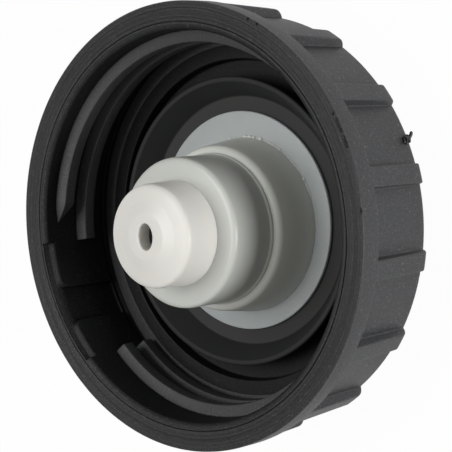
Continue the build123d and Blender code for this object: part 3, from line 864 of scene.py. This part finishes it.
def make_nozzle():
    """Tip with an oval hole in a soft boss, and the ribs inside that stop the ball."""
    spigot_bottom = CARTRIDGE_TOP - CARTRIDGE_HEAD_THICKNESS
    chamber = NOZZLE_SPIGOT - NOZZLE_WALL
    chamber_top = NOZZLE_TIP - BORE_DEPTH

    def corners_at(bearing):
        angle = polar(bearing)
        oval = math.hypot(BORE_LENGTH * math.cos(angle), BORE_WIDTH * math.sin(angle))
        bore = 0.5 * BORE_WIDTH * BORE_LENGTH / oval
        return [
            (chamber, spigot_bottom),
            (NOZZLE_SPIGOT, spigot_bottom, HAIR_ROUND),
            (NOZZLE_SPIGOT, CARTRIDGE_TOP),
            (NOZZLE_FOOT, CARTRIDGE_TOP, HAIR_ROUND),
            (NOZZLE_HEAD, NOZZLE_SHOULDER, NOZZLE_ROUND),
            (BOSS_RADIUS + BOSS_SLOPE, NOZZLE_FACE, BOSS_FOOT_ROUND),
            (BOSS_RADIUS, NOZZLE_TIP - BOSS_CROWN, BOSS_HEAD_ROUND),
            (bore, NOZZLE_TIP, PLAIN_ROUND),
            (bore, chamber_top, HAIR_ROUND),
            (chamber, chamber_top, NOZZLE_CHAMBER_ROUND),
        ]

    body = ring_at("nozzle", corners_at, VALVE_AXIS)
    low = (0.5 * BORE_LENGTH + STOP_RIB_INSET, -0.5 * STOP_RIB_WIDTH, STOP_RIB_FOOT)
    high = (chamber + STOP_RIB_EMBED, 0.5 * STOP_RIB_WIDTH, chamber_top + STOP_RIB_EMBED)
    bearings = bearings_round(STOP_RIB_BEARING, STOP_RIB_COUNT, FULL_TURN)
    return combine(body, bars_at("stop_rib", bearings, low, high, VALVE_AXIS), "UNION")


class Surface:
    """A material and short calls to add nodes to it."""

    def __init__(self, name):
        self.material = bpy.data.materials.new(name)
        self.material.use_nodes = True
        self.tree = self.material.node_tree
        self.shader = self.tree.nodes["Principled BSDF"]
        self.place = self.add("ShaderNodeTexCoord").outputs["Object"]
        self.bumps = None

    def add(self, kind, inputs=None, **settings):
        node = self.tree.nodes.new(kind)
        for key, value in settings.items():
            setattr(node, key, value)
        for key, value in (inputs or {}).items():
            if isinstance(value, bpy.types.NodeSocket):
                self.tree.links.new(value, node.inputs[key])
            else:
                node.inputs[key].default_value = value
        return node

    def math(self, operation, first, second=0.0):
        return self.add("ShaderNodeMath", {0: first, 1: second}, operation=operation).outputs[0]

    def times(self, first, second):
        return self.math("MULTIPLY", first, second)

    def noise(self, scale, detail=2.0, roughness=0.5):
        inputs = {"Scale": scale, "Detail": detail, "Roughness": roughness, "Vector": self.place}
        return self.add("ShaderNodeTexNoise", inputs).outputs["Fac"]

    def lines(self, along, scale, detail=3.0):
        """One-dimensional noise, for moulding lines that lie across a coordinate."""
        inputs = {"W": along, "Scale": scale, "Detail": detail, "Roughness": 0.6}
        return self.add("ShaderNodeTexNoise", inputs, noise_dimensions="1D").outputs["Fac"]

    def ramp(self, value, low, high):
        """Turns a value between low and high into 0 to 1."""
        inputs = {"Value": value, "From Min": low, "From Max": high}
        return self.add("ShaderNodeMapRange", inputs).outputs["Result"]

    def zone(self, value, limits):
        """Turns a size in metres into 0 to 1 between two limits in millimetres."""
        return self.ramp(value, limits[0] * MM, limits[1] * MM)

    def spread(self, value, low, high):
        """Turns 0 to 1 into a value between low and high."""
        inputs = {"Value": value, "To Min": low, "To Max": high}
        return self.add("ShaderNodeMapRange", inputs).outputs["Result"]

    def mix(self, share, first, second):
        node = self.add("ShaderNodeMix", {0: share, 6: first, 7: second}, data_type="RGBA")
        return node.outputs[2]

    def tint(self, tone, share, strength, colour):
        """Lays a colour over a tone where a share is 1, at a strength."""
        return self.mix(self.times(share, strength), tone, colour)

    def bump(self, height, distance, strength):
        """Adds relief to what is there; its distance is in metres."""
        inputs = {"Height": height, "Distance": distance, "Strength": strength}
        if self.bumps is not None:
            inputs["Normal"] = self.bumps
        self.bumps = self.add("ShaderNodeBump", inputs).outputs["Normal"]
        self.tree.links.new(self.bumps, self.shader.inputs["Normal"])

    def set(self, key, value):
        if isinstance(value, bpy.types.NodeSocket):
            self.tree.links.new(value, self.shader.inputs[key])
        else:
            self.shader.inputs[key].default_value = value

    def polar(self):
        """Radius, angle and height of the shaded point, about the cap's axis."""
        parts = self.add("ShaderNodeSeparateXYZ", {0: self.place})
        x, y, z = parts.outputs
        radius = self.math("SQRT", self.math("ADD", self.times(x, x), self.times(y, y)))
        return radius, self.math("ARCTAN2", y, x), z


def black_plastic():
    """Textured skin, with turned lines on the rim, painted shade that darkens the walls inside the mouth and
    weakens their specular, and a painted sheen on the thread's flanks.
    """
    surface = Surface("black_plastic")
    radius, angle, height = surface.polar()
    mottle = surface.noise(scale=90.0, detail=3.0)
    grain = surface.noise(scale=2600.0, roughness=0.6)
    coarse = surface.noise(scale=900.0, roughness=0.6)
    specks = surface.ramp(surface.noise(scale=1500.0, detail=1.0, roughness=0.4), low=0.68, high=0.76)
    on_rim = surface.zone(height, RIM_ZONE)
    rings = surface.lines(radius, scale=5200.0)
    deep = surface.zone(height, MOUTH_ZONE)
    deep = surface.times(deep, surface.zone(radius, MOUTH_EDGE))
    inside = surface.math("MAXIMUM", deep, surface.zone(radius, WALL_EDGE))
    above = surface.zone(height, ABOVE_FACE)
    inside = surface.times(inside, above)
    below_root = surface.times(surface.zone(radius, ROOT_EDGE), above)
    on_flank = surface.times(below_root, surface.zone(radius, CREST_EDGE))
    # Where the painted shade goes: inside the mouth, off the thread's flanks
    painted_shade_inside = surface.math("SUBTRACT", inside, on_flank)
    streaks = surface.lines(angle, scale=90.0)

    tone = surface.mix(surface.ramp(mottle, low=0.3, high=0.7), BLACK_DEEP, BLACK_PALE)
    tone = surface.tint(tone, surface.ramp(grain, low=0.5, high=0.8), 0.9, BLACK_GRAIN)
    tone = surface.tint(tone, specks, 0.6, BLACK_SPECK)
    # Painted sheen: the thread's flanks are lightened where light would fall on them
    tone = surface.tint(tone, on_flank, 0.45, FLANK_PAINTED_SHEEN)
    # Painted shade: the walls inside the mouth are made near-black
    tone = surface.tint(tone, painted_shade_inside, 0.75, INSIDE_PAINTED_SHADE)
    turned = surface.times(surface.ramp(rings, low=0.45, high=0.75), on_rim)
    tone = surface.tint(tone, turned, 0.8, TURNED_DARK)
    bright = surface.times(surface.ramp(rings, low=0.42, high=0.2), on_rim)
    tone = surface.tint(tone, bright, 0.6, TURNED_PALE)

    surface.set("Base Color", tone)
    surface.set("Roughness", surface.spread(mottle, low=0.48, high=0.62))
    # The painted shade inside the mouth also lowers the specular there
    surface.set("Specular IOR Level", surface.spread(painted_shade_inside, low=0.6, high=0.22))
    surface.bump(surface.times(rings, on_rim), distance=0.0002, strength=0.7)
    surface.bump(surface.times(streaks, on_flank), distance=0.00015, strength=0.5)
    surface.bump(coarse, distance=0.00006, strength=0.6)
    surface.bump(grain, distance=0.00006, strength=0.8)
    return surface.material


def gasket_rubber():
    """Matt rubber whose raised lip is darker than its land."""
    surface = Surface("gasket_rubber")
    grain = surface.noise(scale=2400.0, detail=3.0, roughness=0.65)
    mottle = surface.noise(scale=130.0)
    radius = surface.polar()[0]
    on_lip = surface.zone(radius, LIP_EDGE)
    tone = surface.mix(mottle, RUBBER_DEEP, RUBBER_PALE)
    surface.set("Base Color", surface.tint(tone, on_lip, 0.8, RUBBER_LIP))
    surface.set("Roughness", surface.spread(mottle, low=0.62, high=0.75))
    surface.bump(grain, distance=0.00004, strength=0.6)
    return surface.material


def white_plastic(name, cool, warm, roughness, glow, streak=0.0):
    """Natural polymer with a soft skin: light enters it a little way."""
    surface = Surface(name)
    mottle = surface.noise(scale=70.0, detail=3.0)
    flow = surface.noise(scale=240.0, roughness=0.55)
    grain = surface.noise(scale=3000.0)
    surface.set("Base Color", surface.mix(mottle, cool, warm))
    surface.set("Roughness", surface.spread(flow, roughness - SKIN_SMOOTHER, roughness + SKIN_ROUGHER))
    surface.set("Subsurface Weight", glow)
    surface.set("Subsurface Radius", SKIN_REACH)
    surface.set("Subsurface Scale", SKIN_DEPTH)
    if streak:
        surface.bump(surface.lines(surface.polar()[1], scale=70.0), distance=0.00008, strength=streak)
    surface.bump(flow, distance=0.00006, strength=0.35)
    surface.bump(grain, distance=0.00002, strength=0.4)
    return surface.material


def steel(name, roughness):
    surface = Surface(name)
    wear = surface.noise(scale=700.0, detail=3.0)
    surface.set("Base Color", surface.mix(wear, STEEL_DEEP, STEEL_PALE))
    surface.set("Metallic", 1.0)
    surface.set("Roughness", surface.spread(wear, roughness, roughness + STEEL_WEAR))
    surface.bump(wear, distance=0.00002, strength=0.3)
    return surface.material


def felt():
    surface = Surface("felt")
    fibres = surface.noise(scale=1800.0, detail=5.0, roughness=0.7)
    surface.set("Base Color", surface.mix(fibres, FELT_DEEP, FELT_PALE))
    surface.set("Roughness", 0.95)
    surface.bump(fibres, distance=0.0002, strength=0.8)
    return surface.material


def dress(piece, material, body, *nodes):
    """Gives a new piece its material and its body, and hides the solids it stands for."""
    piece.data.materials.clear()
    piece.data.materials.append(material)
    soften(piece)
    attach(piece, body)
    if nodes:
        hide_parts(*nodes)


def paint(node, material):
    """Puts a material on a solid of the frame."""
    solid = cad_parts[node]
    for slot in solid.material_slots:
        slot.material = material


def set_camera():
    data = bpy.data.cameras.new("camera")
    data.sensor_fit = "HORIZONTAL"
    data.sensor_width = SENSOR
    data.lens = SENSOR * FOCAL_PIXELS / PHOTO_SIZE
    data.clip_start = CLIP_START
    data.clip_end = CLIP_END
    made = bpy.data.objects.new("camera", data)
    axes = Matrix((CAMERA_RIGHT, CAMERA_UP, CAMERA_BACK)).transposed()
    made.matrix_world = Matrix.Translation(Vector(CAMERA_PLACE) * MM) @ axes.to_4x4()
    bpy.context.scene.collection.objects.link(made)
    bpy.context.scene.camera = made


def soft_box(name, direction, distance, size, power):
    """White square lamp that faces the cap from a direction; metres and watts."""
    data = bpy.data.lights.new(name, "AREA")
    data.shape = "SQUARE"
    data.size = size
    data.energy = power
    made = bpy.data.objects.new(name, data)
    away = Vector(direction).normalized()
    made.location = away * distance
    made.rotation_euler = away.to_track_quat("Z", "Y").to_euler()
    bpy.context.scene.collection.objects.link(made)


def set_surround():
    """Plain pale surrounding that looks white to the camera."""
    scene = bpy.context.scene
    scene.view_settings.view_transform = "Standard"
    world = bpy.data.worlds.new("surround")
    scene.world = world
    world.use_nodes = True
    tree = world.node_tree
    tree.nodes.clear()
    plain = tree.nodes.new("ShaderNodeBackground")
    plain.inputs["Color"].default_value = SURROUND_COLOUR
    plain.inputs["Strength"].default_value = SURROUND_STRENGTH
    white = tree.nodes.new("ShaderNodeBackground")
    path = tree.nodes.new("ShaderNodeLightPath")
    blend = tree.nodes.new("ShaderNodeMixShader")
    output = tree.nodes.new("ShaderNodeOutputWorld")
    tree.links.new(path.outputs["Is Camera Ray"], blend.inputs[0])
    tree.links.new(plain.outputs[0], blend.inputs[1])
    tree.links.new(white.outputs[0], blend.inputs[2])
    tree.links.new(blend.outputs[0], output.inputs[0])


def set_floor():
    """Pale floor that keeps the cap's shadow, and glows to the camera and in reflections."""
    side = FLOOR_HALF
    corners = [(-side, -side, 0), (side, -side, 0), (side, side, 0), (-side, side, 0)]
    floor = mesh_object("floor", corners, [(0, 1, 2, 3)])
    floor.location.z = -FLOOR_DROP
    surface = Surface("floor")
    surface.set("Base Color", FLOOR_COLOUR)
    surface.set("Roughness", FLOOR_ROUGHNESS)
    glow = surface.add("ShaderNodeEmission", {"Color": PLAIN_WHITE, "Strength": 1.0})
    path = surface.add("ShaderNodeLightPath").outputs
    seen = surface.math("MAXIMUM", path["Is Camera Ray"], path["Is Glossy Ray"])
    seen = surface.times(seen, FLOOR_GLOW)
    mixed = surface.add("ShaderNodeMixShader", {0: seen, 1: surface.shader.outputs[0], 2: glow.outputs[0]})
    output = surface.tree.nodes["Material Output"]
    surface.tree.links.new(mixed.outputs[0], output.inputs["Surface"])
    floor.data.materials.append(surface.material)


set_camera()
set_surround()
set_floor()
soft_box("key", direction=(-0.22, 0.12, 1.0), distance=0.6, size=0.35, power=1.85)
soft_box("side", direction=(1.0, -0.15, 0.08), distance=0.7, size=0.22, power=3.4)

black = black_plastic()
rubber = gasket_rubber()
nozzle_white = white_plastic(
    "nozzle_white",
    cool=(0.80, 0.785, 0.745, 1.0),
    warm=(0.88, 0.86, 0.815, 1.0),
    roughness=0.38,
    glow=0.4,
)
cartridge_white = white_plastic(
    "cartridge_white",
    cool=(0.60, 0.62, 0.585, 1.0),
    warm=(0.66, 0.67, 0.63, 1.0),
    roughness=0.32,
    glow=0.4,
)
housing_white = white_plastic(
    "housing_white",
    cool=(0.78, 0.80, 0.74, 1.0),
    warm=(0.83, 0.84, 0.78, 1.0),
    roughness=0.40,
    glow=0.4,
)
flange_white = white_plastic(
    "flange_white",
    cool=(0.43, 0.465, 0.47, 1.0),
    warm=(0.50, 0.53, 0.525, 1.0),
    roughness=0.42,
    glow=0.5,
    streak=0.5,
)
inner_white = white_plastic(
    "inner_white",
    cool=(0.66, 0.66, 0.63, 1.0),
    warm=(0.72, 0.71, 0.68, 1.0),
    roughness=0.45,
    glow=0.2,
)
ball_steel = steel("ball_steel", roughness=0.12)
spring_steel = steel("spring_steel", roughness=0.25)

dress(make_shell(), black, "cap_body", "cap_shell")
dress(make_gasket(), rubber, "cap_body", "sealing_gasket")
dress(make_flange(), flange_white, "cap_body", "mounting_flange")
dress(add_flash(make_housing()), housing_white, "cap_body", "valve_housing")
dress(make_cartridge(), cartridge_white, "cap_body", "valve_cartridge")
dress(make_nozzle(), nozzle_white, "cap_body", "valve_nozzle")
paint("vent_filter", felt())
for node in ("cartridge_o_ring", "seat_seal", "pressure_seal", "vacuum_seal"):
    paint(node, rubber)
for node in ("ball_seat", "pressure_plate", "vacuum_disc", "spring_keeper"):
    paint(node, inner_white)
for node in ("pressure_spring", "vacuum_spring"):
    paint(node, spring_steel)
paint("rollover_ball", ball_steel)
